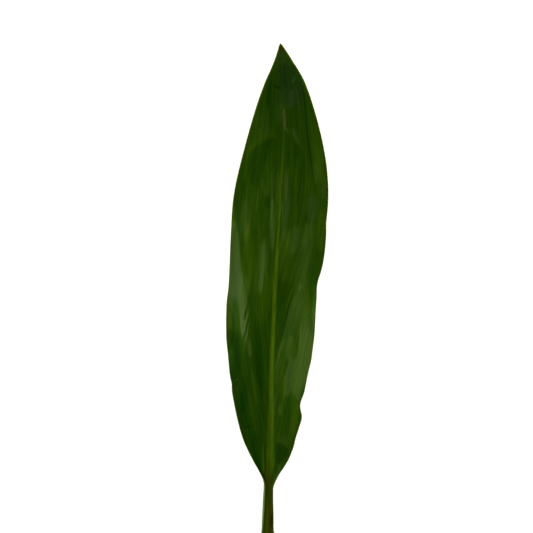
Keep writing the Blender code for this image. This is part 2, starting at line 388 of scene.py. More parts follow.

# Paler and darker stretches, partly painted light and shade that follow the sheen, the folds and the
# creases, and partly the leaf's own tone: line of (station, x), width to its left and right, how much
# paler.
# In these tables the lines and widths were placed one by one, but most of the amounts here and in the
# arches, the sheen, the hues and the patches below were fitted to the photo. Most of the amounts in
# tones, lightShadeArches, hazes, hues and patches were not: another script fitted them to the photo.
lightShadeAndTones = [
    # tip
    ([(494, 6), (514, 5.0)], 8.0, 8.0, -0.24),
    ([(470, 8), (500, 8)], 5.0, 6.0, -0.28),
    ([(473, 8.8), (492, 8.6)], 1.6, 1.6, -0.26),
    ([(450, -9.6), (466, -8.2), (474, -6.8), (486, -4.6)], 3.6, 3.2, -0.80),
    ([(412, -24), (440, -15), (468, -4)], 10.0, 10.0, 0.07),
    ([(395, -34), (425, -26), (452, -18)], 6.0, 6.0, 0.15),
    ([(428, 19), (455, 19)], 5.0, 4.5, -0.05),
    ([(396, 15.0), (411, 18.5), (423, 16.0)], 5.0, 5.0, -0.41),
    ([(390, -17), (418, -7)], 9.0, 8.0, 0.03),
    ([(436, 25), (468, 24)], 4.0, 4.0, 0.15),
    ([(370, 46), (455, 36)], 6.0, 6.0, 0.40),
    # painted shade along the crease near the right margin
    ([(361, 37.6), (374, 36.6), (388, 35.9), (411, 33.2), (431, 30.5), (456, 28.7), (472, 26.0),
      (492, 16)], 1.9, 1.4, -0.81),
    ([(372, 41.0), (390, 39.5), (428, 34.0), (460, 31.5)], 3.0, 4.0, 0.03),
    ([(390, 31), (445, 26)], 5.0, 4.0, 0.30),
    # upper part, left of the midrib
    ([(366, -24), (400, -20), (424, -10)], 9.0, 9.0, -0.15),
    ([(340, -44), (412, -32)], 6.0, 6.0, -0.06),
    ([(330, -44), (358, -43.5)], 6.0, 6.0, 0.63),
    ([(376, -32.5), (394, -30.4), (406, -28.4), (421, -25.3)], 2.8, 2.4, 0.60),
    ([(322, -28), (384, -25)], 10.0, 10.0, 0.36),
    ([(355, -9), (410, -8)], 6.0, 6.0, 0.23),
    ([(384, -8.4), (406, -8.2)], 1.3, 1.3, 0.25),
    ([(354, -0.4), (369, 0.6), (380, 1.2), (394, 1.6)], 2.8, 2.4, 0.24),
    ([(402, -28), (420, -22), (436, -15)], 5.0, 5.0, 0.19),
    ([(384, -7.0), (407, -7.1)], 0.9, 0.9, -0.78),
    ([(336, -3.9), (376, -4.9), (410, -5.9)], 1.3, 1.3, 0.22),
    ([(345, -2.6), (398, -3.2)], 1.3, 1.3, 0.11),
    ([(340, -1.2), (378, -1.5), (414, -1.2)], 1.2, 1.2, -0.12),
    ([(362, -11.0), (372, -13.0), (385, -15.2)], 3.4, 3.2, 0.10),
    ([(358, -9.5), (368, -11.0), (379, -13.0)], 2.4, 2.4, 0.09),
    ([(351, -9.3), (367, -9.3)], 4.2, 4.2, -0.85),
    ([(345, -21), (376, -18)], 1.5, 1.5, 0.71),
    # upper part, right of the midrib
    ([(398, 11.5), (432, 10.5)], 3.5, 4.0, -0.24),
    (lines["besideRib"], 5.0, 4.6, 0.05),
    ([(368, 8.3), (390, 9.6)], 2.0, 2.0, -0.22),
    ([(332, 5.2), (364, 5.9)], 0.9, 0.9, 1.39),
    ([(325, 16), (400, 17)], 5.0, 5.0, 0.20),
    ([(340, 28), (405, 33)], 9.0, 9.0, 0.27),
    ([(365, 18), (410, 20)], 10.0, 10.0, 0.08),
    ([(376, 38.8), (388, 39.2), (400, 37.6)], 3.4, 3.2, 0.33),
    ([(362, 46.5), (384, 47)], 3.4, 3.4, 0.16),
    ([(304, 43.5), (330, 45), (356, 46)], 9.0, 6.0, 0.57),
    # middle, left
    ([(282, -9.2), (291, -10.4), (304, -9.4)], 4.0, 1.8, 0.45),
    ([(243, -34), (268, -34), (294, -38)], 6.0, 5.0, 0.18),
    # the three small wrinkles: painted shade in each and a painted highlight beside it
    (lines["upperWrinkle"], 1.4, 1.3, -1.22),
    ([(236, -32.0), (239.5, -31.0), (245, -29.2), (250.5, -27.9), (253, -27.4)], 1.3, 1.2, 1.35),
    (lines["middleWrinkle"], 1.4, 1.2, -0.55),
    ([(229, -29.2), (236, -27.5), (243, -26.2)], 1.0, 1.0, 0.19),
    ([(220, -33.4), (222.5, -32.7), (226.5, -31.5), (230.5, -30.1), (233, -29.5)], 1.4, 1.3, -0.58),
    ([(217, -33.0), (220.5, -31.8), (225, -29.7), (231, -28.8), (234, -28.6)], 1.3, 1.2, 1.13),
    ([(210, -33.0), (216, -32.4), (222, -31.6)], 1.8, 1.6, 0.45),
    ([(170, -42), (205, -40), (234, -40)], 10.0, 9.0, -0.98),
    ([(316, -31.5), (338, -31.6), (366, -31.5)], 6.5, 6.0, 0.32),
    ([(262, -28), (345, -30)], 8.0, 8.0, 0.80),
    ([(262, -16.2), (276, -14.5), (296, -12.4), (311, -11.5), (326, -11.0)], 12.0, 1.8, 0.61),
    ([(232, -17), (292, -9)], 12.0, 12.0, 0.42),
    ([(270, -16.0), (292, -14.2), (316, -13)], 2.6, 1.8, 0.03),
    ([(262, -22), (330, -22)], 5.0, 4.0, 0.34),
    ([(305, -17.0), (328, -17.5), (352, -18.5)], 4.5, 4.5, 0.31),
    ([(305, -4.3), (326, -4.0), (345, -4.1), (368, -4.2)], 5.0, 3.2, 0.52),
    ([(316, -1.1), (362, -0.9)], 1.0, 1.0, 0.12),
    ([(228, -47.5), (264, -47.5)], 7.0, 5.0, 0.81),
    # middle, right
    ([(292, 5), (334, 8)], 4.8, 4.8, -0.03),
    ([(272, 6), (338, 10)], 10.0, 10.0, 0.59),
    ([(305, 15), (322, 17.5), (338, 20)], 10.0, 9.0, 0.26),
    ([(310, 27.0), (325, 28.2), (341, 29.5)], 4.5, 4.0, 0.48),
    ([(320, 34.0), (332, 34.8)], 2.2, 2.2, 0.40),
    ([(276, 34.6), (285, 37), (300, 41.5), (322, 47.5)], 3.6, 10.0, 0.05),
    (lines["rightSheen"], 11.0, 9.0, 0.41),
    ([(266, 26.5), (284, 27.5), (306, 30.0)], 3.0, 3.0, 0.26),
    ([(213, 0.0), (240, 3.2), (262, 6.5), (284, 10)], 6.5, 7.0, 0.19),
    ([(256, 5.5), (280, 7.5)], 3.0, 3.5, -0.18),
    # painted shade along the crease from the midrib, and painted light beyond it
    ([(212, 0.6), (223, 3.8), (233, 6.3), (245, 9.3), (255, 11.8), (265, 14.8),
      (276, 18.0)], 1.5, 1.4, -0.57),
    ([(250, 8.2), (258, 11.2), (266, 13.7), (277, 16.5)], 1.0, 1.0, 0.92),
    (lines["rightFold"], 1.4, 14.0, 0.31),
    ([(201, 1.2), (212, 3.4), (223, 6.6)], 2.4, 4.0, 0.60),
    ([(225, 16), (305, 19)], 7.0, 7.0, 0.15),
    ([(220, 31.6), (250, 31.9), (280, 31.6)], 9.0, 1.1, -0.02),
    ([(223, 33.8), (278, 33.6)], 2.0, 2.4, -0.56),
    ([(230, 36.0), (250, 36.8), (276, 38)], 1.6, 1.6, 0.56),
    ([(226, 31.5), (250, 32.2)], 3.4, 3.4, -0.46),
    ([(203, 21.0), (216, 21.4), (236, 22)], 1.6, 1.2, 0.58),
    ([(268, 22.2), (278, 24.0)], 1.4, 1.4, 0.59),
    ([(150, 16), (215, 27), (285, 36)], 15.0, 15.0, 0.78),
    # lower part, left
    ([(176, -35.0), (186, -34.0)], 3.0, 3.0, -0.36),
    ([(202, -26.4), (213, -26.9), (225, -28)], 2.8, 2.8, 0.63),
    ([(205, -33), (262, -29)], 6.0, 6.0, 0.25),
    ([(148, -20.0), (160, -21.0), (176, -23.0), (192, -24.5)], 4.8, 4.2, 0.21),
    ([(119, -17.5), (141, -22.0), (156, -25.6), (174, -28.2)], 4.6, 4.2, 0.45),
    ([(144, -35), (160, -33.5), (184, -34)], 5.0, 5.0, -0.38),
    ([(158, -14.3), (185, -16), (215, -18.2), (250, -21)], 6.5, 5.5, -0.69),
    ([(188, -46.5), (208, -48.2)], 3.0, 3.0, 0.04),
    ([(100, -24), (150, -35), (200, -42)], 8.0, 7.0, 0.21),
    ([(92, -11.5), (162, -11)], 4.5, 4.5, -0.11),
    ([(86, -12.8), (100, -13.4), (122, -13.6)], 1.9, 1.4, 1.07),
    ([(86, -11.3), (126, -11.5)], 1.6, 1.5, -0.39),
    # lower part, right
    ([(156, 23.9), (168, 25.0), (184, 29.8)], 1.4, 5.0, -0.18),
    ([(132, 6.6), (150, 6.7), (165, 6.9), (186, 6.9)], 1.9, 0.9, 0.11),
    ([(124, 16.0), (145, 18.6), (162, 19)], 6.5, 5.0, 0.51),
    ([(145, 3.0), (159, 4.6)], 3.4, 3.4, 0.52),
    ([(160, 2.5), (186, 3.5)], 4.0, 4.5, -0.12),
    ([(127, 2.0), (141, 2.5)], 3.4, 3.4, -0.23),
    ([(150, 8), (210, 5)], 6.0, 6.0, 0.56),
    ([(197, 11.0), (212, 12.5), (228, 15.0)], 7.0, 6.0, 0.60),
    ([(172, -0.5), (190, 0.0), (212, 2.0)], 3.5, 4.0, 0.55),
    ([(103, 12.5), (118, 15.8)], 2.0, 3.0, 0.13),
    ([(89, 1.2), (100, 3.2)], 3.0, 3.0, 0.33),
    # stalk: painted light on the channel's left side and painted shade on its right
    ([(33, -6.3), (45, -5.9)], 1.5, 1.5, -0.60),
    ([(22, -12.7), (50, -12.2)], 1.6, 3.0, 0.20),
    (lines["stalkLeft"], 2.4, 6.4, 1.60),
    ([(84, -9.8), (92, -9.5), (118, -8.6)], 2.4, 2.6, 0.82),
    ([(74, -4.6), (84, -3.4), (98, -2.0)], 2.6, 3.0, -0.88),
    ([(44, -8.2), (84, -8.0)], 2.6, 2.6, -0.35),
    ([(26, -12.0), (64, -11.3)], 2.0, 1.6, 0.60),
    ([(76, -5.4), (90, -4.6), (114, -3.6)], 1.9, 1.9, -0.21),
    (lines["stalkRight"], 4.2, 4.0, -1.15),
    ([(33, -6.2), (48, -5.5)], 2.0, 2.2, -0.45),
    ([(43, -12), (51, -12)], 1.2, 1.2, -0.14),
]

# The same across the leaf, all painted light and shade: the edge of a painted reflection below the tip
# with painted shade beneath it, and painted shade and highlights along creases. Line of (x, station),
# width towards the tip and towards the stalk.
lightShadeArches = [
    (lines["leftArch"], 12.0, 1.6, 0.34),
    (lines["leftArch"], 1.6, 36.0, -0.14),
    (lines["rightArch"], 7.0, 1.6, 0.21),
    (lines["rightArch"], 1.6, 16.0, 0.10),
    ([(-4.0, 476.0), (0, 474.2), (4.5, 472.8)], 2.3, 2.3, -1.40),
    ([(-13, 416), (-5, 420.5), (1.5, 418.5)], 3.0, 10.0, -0.23),
    ([(1.5, 281), (9, 278.6), (19, 274)], 1.6, 12.0, -0.15),
    ([(-3, 121.5), (3.2, 119.5), (9.2, 115.5), (14.0, 111)], 8.0, 1.6, 0.16),
    ([(-31.5, 135), (-24.5, 135.6)], 2.0, 2.0, -0.91),
    ([(-45.2, 178.4), (-43.6, 179.5), (-41.8, 180.5), (-39.8, 181.5),
      (-37.4, 182.7)], 1.6, 1.5, 0.95),
]

# Painted sheen, a dull grey-green veil in the same form as the tones, and below it a painted highlight
# beside the midrib with a scar, and browned parts.
paintedSheens = [
    ([(494, 4.5), (512, 4.5)], 8.0, 8.0, 0.27),
    ([(434, 2), (450, 4), (464, 6)], 6.0, 7.0, 0.23),
    ([(415, 22), (424, 19.5), (436, 15)], 3.6, 3.2, 0.40),
    ([(420, -14), (452, -10)], 12.0, 9.0, 0.14),
    (lines["besideRib"], 5.4, 5.0, 0.41),
    ([(362, -11.0), (372, -13.0), (385, -15.2)], 3.8, 3.4, 0.24),
    ([(374, 38.8), (388, 39.2), (402, 37.6)], 4.0, 3.6, 0.22),
    ([(360, 46.5), (386, 47)], 4.0, 3.6, 0.20),
    ([(202, -26.4), (213, -26.9), (225, -28)], 2.8, 2.8, 0.52),
    ([(226, -45), (246, -45.5), (266, -46)], 7.0, 7.0, 0.36),
    ([(316, -31.5), (338, -31.3), (366, -31.5)], 6.0, 6.0, 0.36),
    ([(262, -16.2), (276, -14.7), (296, -12.8), (311, -12), (326, -11.5)], 8.0, 2.0, 0.79),
    ([(305, -4.3), (326, -4.0), (345, -4.1), (368, -4.2)], 5.0, 3.2, 0.51),
    ([(305, 15), (322, 17.5), (338, 20)], 11.0, 10.0, 0.34),
    ([(308, 27.0), (325, 28.2), (342, 29.5)], 5.0, 5.0, 0.11),
    ([(338, 36), (368, 36)], 9.0, 8.0, 0.35),
    (lines["rightSheen"], 12.0, 10.0, 0.27),
    (lines["rightFold"], 1.6, 18.0, 0.22),
    ([(220, 31.4), (250, 31.7), (280, 31.4)], 9.0, 1.2, 0.03),
    ([(145, 3.0), (159, 4.6)], 3.6, 3.6, 0.20),
    ([(114, 5), (128, 9)], 7.0, 7.0, 0.17),
    ([(197, 11.0), (212, 12.5), (228, 15.0)], 7.0, 6.0, 0.21),
    ([(172, 0.0), (190, 0.8), (208, 2.5)], 3.5, 4.0, 0.07),
    ([(89, 1.2), (98, 2.4)], 2.4, 2.4, 0.41),
    ([(354, -0.4), (369, 0.6), (380, 1.2), (394, 1.6)], 2.8, 2.4, 0.27),
    ([(352, -4.3), (372, -4.6), (394, -5.0)], 2.6, 2.6, 0.24),
    ([(451, 13.6), (474, 15.6)], 5.5, 5.5, 0.53),
    ([(453, 4.6), (471, 6.0)], 3.0, 3.0, 0.08),
    ([(270, 22.2), (278, 24.0)], 1.6, 1.6, 0.80),
    ([(448, 24.0), (476, 19.0)], 3.0, 2.4, 0.35),
    ([(162, 26), (190, 28), (215, 31), (246, 33)], 9.0, 9.0, 0.14),
    # painted shade in the three wrinkles, where the painted sheen is taken away
    (lines["upperWrinkle"], 1.9, 1.8, -1.20),
    (lines["middleWrinkle"], 1.9, 1.7, -1.20),
    ([(220, -33.4), (226.5, -31.5), (233, -29.5)], 1.9, 1.7, -1.20),
]
highlightsAndScars = [
    # a painted highlight beside the midrib
    ([(427, 11.2), (434, 8.3), (440, 7.7), (447, 7.3), (454, 7.0)], 3.8, 2.4, 0.75),
    ([(477.5, 15.2), (485.5, 18.9)], 1.5, 1.5, 1.0),
]
browns = [
    ([(506, 4.2), (513, 3.9), (530, 3.6)], 16.0, 16.0, 0.9),
    ([(431, 5.6), (454, 5.2)], 2.6, 2.4, 0.5),
    ([(501, 4.2), (507, 4.6)], 1.6, 1.6, 0.45),
    ([(32, -6.0), (49, -5.3)], 2.2, 2.4, 1.20),
    ([(84, -11.2), (130, -11.4)], 2.4, 2.2, 0.35),
]
# Yellower stretches, and where the amount is below nothing purer green ones.
hues = [
    ([(84, -10.4), (100, -10.2), (124, -9.8)], 2.4, 2.6, -0.45),
    ([(478, 5), (514, 4)], 9.0, 9.0, 0.24),
    ([(428, 7), (474, 9)], 10.0, 10.0, 0.39),
    ([(398, -16), (440, -8)], 8.0, 8.0, 0.19),
    ([(360, 8), (395, 8)], 6.0, 6.0, 0.66),
    ([(340, 46), (420, 41)], 6.0, 6.0, 0.37),
    ([(385, -30), (425, -22)], 8.0, 6.0, -0.13),
    ([(395, -14), (424, -8)], 8.0, 6.0, -0.56),
    ([(250, -10), (360, -10)], 10.0, 8.0, 0.01),
    ([(270, 14), (360, 16)], 16.0, 16.0, 0.10),
    ([(240, 38), (296, 38)], 6.0, 6.0, -0.44),
    ([(233, 4), (268, 5)], 5.0, 5.0, -0.35),
    ([(230, -46), (268, -46)], 8.0, 8.0, -0.13),
    ([(170, -42), (232, -42)], 10.0, 10.0, -0.31),
    ([(168, -17), (196, -16), (230, -20)], 7.0, 7.0, -0.62),
    ([(138, -32), (158, -34), (184, -36)], 7.0, 6.0, -0.55),
    ([(80, -14), (125, -26), (180, -40)], 15.0, 12.0, -0.52),
    ([(60, -9), (200, -5)], 3.0, 6.0, -0.12),
    ([(100, 0), (196, 1)], 5.0, 6.0, 0.49),
    ([(108, 12), (150, 16)], 8.0, 8.0, 0.35),
    (lines["stalkLeft"], 2.4, 6.4, -0.66),
    (lines["stalkRight"], 4.2, 4.0, 1.00),
]

# Where the skin has no sheen: corners of (x, station, how soft the edge is there), and how much.
dulls = [
    ([(-56, 266, 8.0), (-38.5, 258, 6.0), (-36.9, 243, 1.0), (-35.6, 229, 1.0), (-32.5, 220, 1.5),
      (-29, 205, 3.0), (-27, 175, 6.0), (-36, 140, 8.0), (-56, 140, 8.0)], 1.0),
]

# Patches of painted light, sheen and shade, with an outline of the same form: how much paler they are and
# how much painted sheen they have.
patches = [
    # the greyish tip: painted sheen on a darker green
    ([(1, 494, 4.0), (7, 499, 4.0), (16, 497, 3.0), (22, 487, 2.0), (25.5, 478, 1.6), (28, 468, 2.0),
      (25.5, 458, 4.0), (14, 456, 4.0), (0, 457, 4.0), (-3, 466, 4.0), (2, 472, 3.0),
      (0, 482, 4.0)], -0.72, 0.21),
    # the fold that lies over to the left: painted sheen and light where it faces the light
    ([(-41.2, 340, 3.0), (-38.8, 328, 1.0), (-36.6, 306, 0.7), (-35.5, 296, 0.7), (-34.5, 286, 0.7),
      (-33.2, 278, 0.7), (-31.3, 270, 0.8), (-30.0, 265, 0.8), (-30.2, 258, 0.8), (-31.4, 251, 0.7),
      (-32.6, 244, 0.6), (-32.4, 241.5, 0.6), (-29.4, 240, 0.6), (-30.4, 235, 0.6), (-31.6, 230, 0.6),
      (-32.9, 225, 0.7), (-34.3, 221.5, 0.6), (-35.3, 227, 0.8), (-36.6, 235, 0.8), (-37.1, 245, 0.8),
      (-37.5, 251, 1.5), (-41, 262, 6.0), (-54, 264, 10.0), (-54, 340, 8.0)], 0.53, 0.63),
    ([(-54, 268, 8.0), (-37.4, 258, 5.0), (-36.8, 243, 0.8), (-35.8, 231.4, 0.5), (-50, 231.2, 0.5),
      (-54, 231.2, 0.5)], 0.11, 0.00),
    ([(-33.8, 290, 1.5), (-28, 280, 2.5), (-28.5, 264, 1.2), (-30.4, 265, 0.8),
      (-33.2, 278, 0.8)], 0.25, 0.23),
    # the sheen on the lower right
    ([(24.2, 252, 16.0), (22.9, 230, 2.5), (22.2, 216, 0.8), (21.7, 205, 0.8), (19, 203, 2.5),
      (14.2, 202, 2.5), (11.2, 197, 1.5), (9.7, 191, 1.5), (8.0, 183, 1.0), (7.4, 177, 0.6),
      (7.3, 168, 0.8), (9.2, 165, 1.5), (12.2, 167, 1.5), (14.7, 170, 1.5), (17.2, 167, 1.5),
      (19.2, 162, 1.2), (22.7, 161.5, 1.0), (23.2, 168, 0.7), (26.2, 175, 0.7), (28.7, 180, 0.8),
      (31.2, 186, 1.5), (33.2, 195, 2.0), (38, 211, 2.0), (41, 252, 16.0)], 0.22, 0.40),
    # painted shade: the dark wedge and the dark corner below it
    ([(7.7, 165, 0.9), (7.6, 151, 0.6), (8.05, 138, 0.8), (9.6, 145, 1.0), (11.2, 153, 1.6),
      (13.4, 163, 2.5)], -0.36, 0.0),
    ([(-1.3, 119.5, 0.8), (5.2, 118.5, 0.8), (12.2, 112, 1.0), (10.2, 105, 2.0), (4.2, 99, 1.5),
      (0.2, 98, 1.5), (-1.8, 106, 1.5)], -0.72, 0.0),
]

# Half width of the yellow-green midrib stripe, and how strong it is.
midrib = {
    "halfWidth": [
        (0, 5.0), (80, 4.7), (111, 4.0), (131, 3.3), (161, 2.4), (201, 2.2), (241, 2.05),
        (281, 2.0), (321, 1.45), (361, 1.5), (391, 1.25), (421, 0.85), (518, 0.5)],
    "strength": [
        (0, 0.9), (111, 0.66), (136, 0.82), (161, 0.95), (290, 0.95), (320, 0.7), (361, 0.75),
        (400, 0.55), (431, 0.25), (460, 0.0), (518, 0.0)],
    # how far to the right of the groove the stripe lies
    "aside": [
        (0, 0), (80, -0.6), (111, -1.0), (141, -0.5), (181, 0), (221, 0.4), (281, 0.3), (301, 0.2),
        (321, 0.1), (352, -0.2), (361, -0.5), (371, -1.0), (381, -0.8), (391, -0.4), (431, 0),
        (518, 0)],
    "fade": (0.55, 1.3),     # it fades between these parts of its half width
    "olive": (70, 108),      # stations over which the stalk's olive leaves it
    "oliveShare": 0.9,
    "dull": 0.5,             # how much sheen it lacks, as the stalk does
}
stalkSkin = {
    "olive": (62, 90),         # stations over which the olive gives way to the blade's green
    "wallFoot": (0.32, 0.48),  # share of the way out where the painted sheen on the left wall starts, below
    "wallNarrows": (28, 72),   # the first of these stations and beyond the second
    "wallTop": 0.84,
}
marginSkin = {
    "fade": (0.2, 0.9),      # the pale margin fades over this, in millimetres from the edge
    "widens": (420, 470),    # it grows to twice the width over these stations
    "clears": (300, 420),    # and is fainter below these
    "faint": 0.55,
}


def paint(row, x, share, toEdge):
    # the masks that the materials read at one grid point
    station = row["station"]
    stripe = curveThrough(midrib["halfWidth"], station)
    away = abs(row["side"] * share * row["halfWidth"] - curveThrough(midrib["aside"], station))
    rib = 1 - smoothStep(midrib["fade"][0] * stripe, midrib["fade"][1] * stripe, away)
    oliveRib = midrib["oliveShare"] * rib * (1 - smoothStep(*midrib["olive"], station))
    stalk = max(1 - smoothStep(*stalkSkin["olive"], station), oliveRib)
    foot = mix(*stalkSkin["wallFoot"], smoothStep(*stalkSkin["wallNarrows"], station))
    wallSheen = smoothStep(foot, stalkSkin["wallTop"], share) * (row["side"] < 0)
    wide = 1 + smoothStep(*marginSkin["widens"], station)
    edge = 1 - smoothStep(marginSkin["fade"][0] * wide, marginSkin["fade"][1] * wide, toEdge)
    edge *= mix(marginSkin["faint"], 1, smoothStep(*marginSkin["clears"], station))

    # painted light and shade with the leaf's own tone, and painted sheen
    lightShadeAndTone = marked(row["lightShadeAndTones"], x) + arched(lightShadeArches, x, station)
    paintedSheen = marked(row["paintedSheens"], x)
    for corners, paintedLight, sheenAmount in row["patches"]:
        cover = covered(corners, x, station)
        lightShadeAndTone += paintedLight * cover
        paintedSheen += sheenAmount * cover
    dull = sum(amount * covered(corners, x, station) for corners, amount in row["dulls"])
    return {
        "lightShadeAndTone": lightShadeAndTone,
        "rib": rib * curveThrough(midrib["strength"], station) * (1 - stalk),
        "edge": edge * (1 - stalk),
        "stalk": stalk,
        "wallSheen": stalk * wallSheen,
        "paintedSheen": paintedSheen,
        "hue": marked(row["hues"], x),
        "highlightAndScar": marked(row["highlightsAndScars"], x),
        "brown": marked(row["browns"], x),
        "dull": dull + midrib["dull"] * max(stalk, rib),
        "vein": veinAt(row, share) + veins["sideApart"] * (row["side"] > 0),
        "along": station,
    }


def gridRows():
    # both halves of every row of the grid, with the marks that cross it
    markTables = {"lightShadeAndTones": lightShadeAndTones, "paintedSheens": paintedSheens, "highlightsAndScars": highlightsAndScars, "browns": browns, "hues": hues}
    rows = []
    station = 0.0
    while station < leaf["length"] - leaf["tipGap"]:
        halves = {side: sectionAt(side, station) for side in (-1, 1)}
        for row in halves.values():
            for name, marks in markTables.items():
                row[name] = marksAt(marks, station)
            row["dulls"] = patchesAt(dulls, station)
            row["patches"] = patchesAt(patches, station)
        rows.append(halves)
        station += curveThrough(leaf["rowStep"], station)
    return rows


def gridPoints(rows, counts):
    # the upper surface on a grid from the stalk to just short of the tip
    grid = []
    for halves in rows:
        line = []
        for column in range(-counts[0], counts[0] + 1):
            row = halves[-1 if column < 0 else 1]
            share = columnShare(row, abs(column), counts)
            x, z, thin, toEdge = leafPoint(row, share)
            y = row["station"] - leaf["length"] / 2
            line.append((Vector((x, y, z)), thin, paint(row, x, share, toEdge)))
        grid.append(line)
    return grid


def underside(grid, tip):
    # the points of a grid moved inwards, square to the surface, by the leaf's thickness
    lower = []
    for i, line in enumerate(grid):
        before, after = grid[max(i - 1, 0)], grid[i + 1] if i + 1 < len(grid) else None
        moved = []
        for j, (point, thin, masks) in enumerate(line):
            across = line[min(j + 1, len(line) - 1)][0] - line[max(j - 1, 0)][0]
            along = (after[j][0] if after else tip) - before[j][0]
            moved.append((point - across.cross(along).normalized() * thin, thin, masks))
        lower.append(moved)
    return lower


def inBox(point):
    # metres, held inside the box of the solid that this leaf covers
    return [min(max(point[k] * mm, cadLow[k]), cadHigh[k]) for k in range(3)]


def skinFaces(grid, start, top):
    # quads over a grid whose points are numbered from start, and a fan to the tip
    wide, last = len(grid[0]), len(grid) - 1
    faces = []
    for i in range(last):
        for j in range(wide - 1):
            a = start + i * wide + j
            faces.append((a, a + 1, a + 1 + wide, a + wide))
    end = start + last * wide
    return faces + [(end + j, end + j + 1, top) for j in range(wide - 1)]


def marginPoints(grid, start, top, column):
    return [start + i * len(grid[0]) + column for i in range(len(grid))] + [top]


def leafObject(points, masks, faces, slots):
    mesh = bpy.data.meshes.new("tiLeaf")
    mesh.from_pydata(points, [], faces)
    mesh.polygons.foreach_set("material_index", slots)
    for name in masks[0]:
        layer = mesh.attributes.new(name, "FLOAT", "POINT")
        layer.data.foreach_set("value", [mask[name] for mask in masks])
    mesh.validate()
    blade = bpy.data.objects.new("tiLeaf", mesh)
    bpy.context.scene.collection.objects.link(blade)
    return blade


def buildLeaf():
    rows = gridRows()
    upper = gridPoints(rows, leaf["upperColumns"])
    print("upper face ready:", len(upper), "rows")
    tip = Vector((leaf["leftMargin"][-1][1], leaf["length"] / 2, leaf["lamina"]))
    lower = underside(gridPoints(rows, leaf["underColumns"]), tip)

    points, masks, starts = [], [], []
    for grid in (upper, lower):
        starts.append(len(points))
        for line in grid:
            points += [inBox(point) for point, thin, mask in line]
            masks += [mask for point, thin, mask in line]
    tops = len(points), len(points) + 1
    points += [inBox(tip), inBox(tip - Vector((0, 0, leaf["marginEdge"])))]
    masks += [dict(masks[-1], edge=1.0)] * 2

    faces = skinFaces(upper, starts[0], tops[0])
    slots = [0] * len(faces)
    faces += [corners[::-1] for corners in skinFaces(lower, starts[1], tops[1])]
    slots += [1] * (len(faces) - len(slots))

    # the rim along both margins, and the cut end of the stalk
    for column, turn in ((0, 1), (-1, -1)):
        above = marginPoints(upper, starts[0], tops[0], column % len(upper[0]))
        below = marginPoints(lower, starts[1], tops[1], column % len(lower[0]))
        for i in range(len(rows)):
            faces.append((above[i], above[i + 1], below[i + 1], below[i])[::turn])
            slots.append(0)
    cut = [starts[1] + j for j in range(len(lower[0]))]
    faces.append(cut + [starts[0] + j for j in reversed(range(len(upper[0])))])
    slots.append(1)
    return leafObject(points, masks, faces, slots)


# Materials

def nodeMaterial(name):
    material = bpy.data.materials.new(name)
    material.use_nodes = True
    nodes = material.node_tree.nodes
    return material, nodes, material.node_tree.links, nodes["Principled BSDF"]


def attribute(nodes, name):
    node = nodes.new("ShaderNodeAttribute")
    node.attribute_name = name
    return node.outputs["Fac"]


def mathNode(nodes, links, operation, a, b, c=None):
    node = nodes.new("ShaderNodeMath")
    node.operation = operation
    for socket, value in zip(node.inputs, (a, b, c)):
        if value is None:
            continue
        if isinstance(value, (int, float)):
            socket.default_value = value
        else:
            links.new(value, socket)
    return node.outputs[0]


def mixColour(nodes, links, factor, a, b, blend="MIX"):
    node = nodes.new("ShaderNodeMix")
    node.data_type = "RGBA"
    node.blend_type = blend
    for socket, value in ((node.inputs[0], factor), (node.inputs[6], a), (node.inputs[7], b)):
        if isinstance(value, tuple):
            socket.default_value = (*value, 1.0)
        elif isinstance(value, (int, float)):
            socket.default_value = value
        else:
            links.new(value, socket)
    return node.outputs[2]


def tinted(nodes, links, colour, amount, tint):
    # colour times the tint, the amount may go past one
    strength = nodes.new("ShaderNodeMix")
    strength.data_type = "RGBA"
    strength.clamp_factor = False
    links.new(amount, strength.inputs[0])
    strength.inputs[6].default_value = (1.0, 1.0, 1.0, 1.0)
    strength.inputs[7].default_value = (*tint, 1.0)
    return mixColour(nodes, links, 1.0, colour, strength.outputs[2], "MULTIPLY")


def streaks(nodes, links, vein, along, width, length, detail):
    # noise drawn out along the veins, both sizes in millimetres
    combine = nodes.new("ShaderNodeCombineXYZ")
    links.new(mathNode(nodes, links, "DIVIDE", vein, width), combine.inputs[0])
    links.new(mathNode(nodes, links, "DIVIDE", along, length), combine.inputs[1])
    texture = nodes.new("ShaderNodeTexNoise")
    texture.inputs["Scale"].default_value = 1.0
    texture.inputs["Detail"].default_value = detail
    links.new(combine.outputs[0], texture.inputs["Vector"])
    return texture.outputs["Fac"]


def varied(nodes, links, colour, pattern, amount):
    # lightens and darkens a colour by a pattern that runs from 0 to 1 about 0.5
    lift = mathNode(nodes, links, "MULTIPLY_ADD", pattern, amount, 1 - amount / 2)
    return mixColour(nodes, links, 1.0, colour, lift, "MULTIPLY")


# The fine pattern of the skin.
grain = {
    # noise drawn out along the veins: width and length in millimetres, detail, contrast
    "fine": (1.3, 30.0, 1.0, 0.8),
    "middling": (3.0, 60.0, 0.0, 0.4),
    "broad": (8.0, 90.0, 1.0, 0.3),
    "mottleScale": 420.0,
    "mottleContrast": 0.15,
    "darkest": 1.6,          # no stretch is shaded more than this
    "unevenGloss": 0.03,
    "dullRoughness": 0.74,   # what a stretch without sheen adds to the roughness
}


def mottled(nodes, links):
    place = nodes.new("ShaderNodeTexCoord")
    mottle = nodes.new("ShaderNodeTexNoise")
    mottle.inputs["Scale"].default_value = grain["mottleScale"]
    mottle.inputs["Detail"].default_value = 1.0
    links.new(place.outputs["Object"], mottle.inputs["Vector"])
    return mottle.outputs["Fac"]


